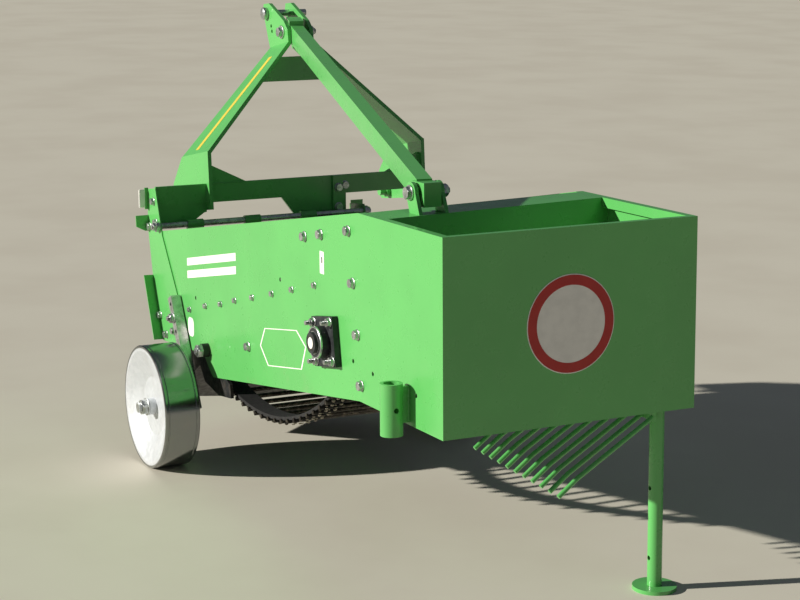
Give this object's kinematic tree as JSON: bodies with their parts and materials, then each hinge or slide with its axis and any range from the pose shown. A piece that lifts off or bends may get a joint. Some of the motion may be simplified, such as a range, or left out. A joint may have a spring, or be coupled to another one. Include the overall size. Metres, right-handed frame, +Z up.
{
  "type": "potato harvester",
  "caption": "Single-row elevator potato digger for a three-point hitch, with a rod web, side-delivery tine grate and drum wheels.",
  "frame": {"origin": "on the ground, under the middle of the box round the whole machine", "axes": "+Y forward, the way it travels; +X to its right; +Z up"},
  "size_m": [1.0136, 1.9012, 1.0976],
  "materials": {
    "green_paint": "gloss",
    "zinc_plate": "satin",
    "black_steel": "satin",
    "black_plastic": "matte",
    "web_steel": "worn",
    "wear_steel": "worn",
    "galvanised": "satin",
    "cast_iron": "satin"
  },
  "bodies": {
    "frame": {"side_plate_left": "green_paint", "side_plate_right": "green_paint", "nose_plate_left": "green_paint", "nose_plate_right": "green_paint", "rear_panel": "green_paint", "box_member": "green_paint", "strut_bracket": "green_paint", "back_strut": "green_paint", "hitch_beam": "green_paint", "mast_leg_left": "green_paint", "mast_leg_right": "green_paint", "mast_gussets": "green_paint", "mast_tie": "green_paint", "top_link_pin": "zinc_plate", "lower_pin_left": "green_paint", "lower_pin_right": "green_paint", "cross_rod": "zinc_plate", "rod_sleeves": "green_paint", "gearbox_plate": "green_paint", "gearbox": "cast_iron", "pto_shaft": "wear_steel", "pto_guard": "black_plastic", "cross_shaft": "black_steel", "chain_case": "green_paint", "head_shaft": "black_steel", "head_bearing": "cast_iron", "web": "web_steel", "guide_strips": "black_steel", "front_rollers": "black_steel", "share": "black_steel", "share_brackets": "black_steel", "wheel_arm_left": "zinc_plate", "wheel_arm_right": "zinc_plate", "side_socket": "green_paint", "stand_socket": "green_paint", "tine_grate": "green_paint"},
    "wheel_left": {"wheel_left": "galvanised"},
    "wheel_right": {"wheel_right": "galvanised"},
    "stand": {"stand_leg": "green_paint"}
  },
  "joints": [
    {"name": "wheel_left_spin", "type": "hinge", "parent": "frame", "child": "wheel_left", "pos_m": [-0.44375, 0.37531, 0.153], "axis": [1, 0, 0], "continuous": true},
    {"name": "wheel_right_spin", "type": "hinge", "parent": "frame", "child": "wheel_right", "pos_m": [0.33825, 0.37531, 0.153], "axis": [1, 0, 0], "continuous": true},
    {"name": "stand_slide", "type": "slide", "parent": "frame", "child": "stand", "axis": [0, 0.0314, 0.9995], "range_m": [0, 0.24]}
  ]
}
